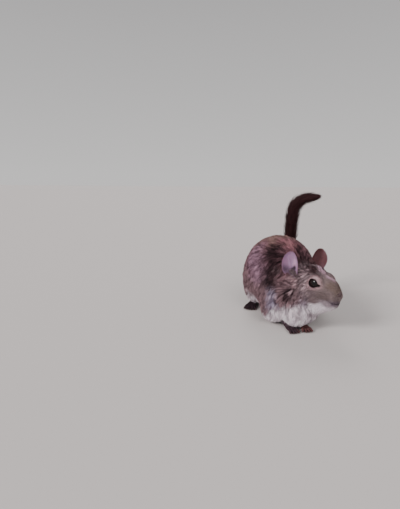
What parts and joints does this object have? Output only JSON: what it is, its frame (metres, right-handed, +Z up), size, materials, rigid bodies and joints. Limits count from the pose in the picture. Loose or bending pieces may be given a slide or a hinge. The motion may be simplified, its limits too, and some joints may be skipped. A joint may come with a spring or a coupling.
{
  "type": "degu",
  "caption": "Still, life-size degu crouching on all fours, head turned to its left, with cupped ears, closed mouth and a dark brush-tipped tail held upright.",
  "frame": {"origin": "centre of the bounding box at floor level, under the belly", "axes": "+Z up, the body faces -Y with the tail towards +Y, +X is the animal's own left"},
  "size_m": [0.0926, 0.1274, 0.1168],
  "materials": {
    "back_coat": "short dense agouti coat, grey-brown, matt",
    "face_coat": "very short grey-brown fur, paler round the eye and on the throat, matt",
    "leg_coat": "short grey-brown fur, matt",
    "foot_skin": "grey-pink skin with thin short hair, dark claws",
    "ear_skin": "thin, nearly bare mauve-grey skin",
    "eye": "near-black, wet gloss",
    "tail_hair": "long coarse black-brown hair"
  },
  "bodies": {
    "root": {"head": "face_coat", "neck": "back_coat", "torso": "back_coat", "eye_left": "eye", "eye_right": "eye", "ear_left": "ear_skin", "ear_right": "ear_skin", "foreleg_left": "leg_coat", "foreleg_right": "leg_coat", "forefoot_left": "foot_skin", "forefoot_right": "foot_skin", "hind_leg_left": "leg_coat", "hind_leg_right": "leg_coat", "hind_foot_left": "foot_skin", "hind_foot_right": "foot_skin", "tail_base": "back_coat", "tail_middle": "tail_hair", "tail_brush": "tail_hair"}
  },
  "joints": []
}
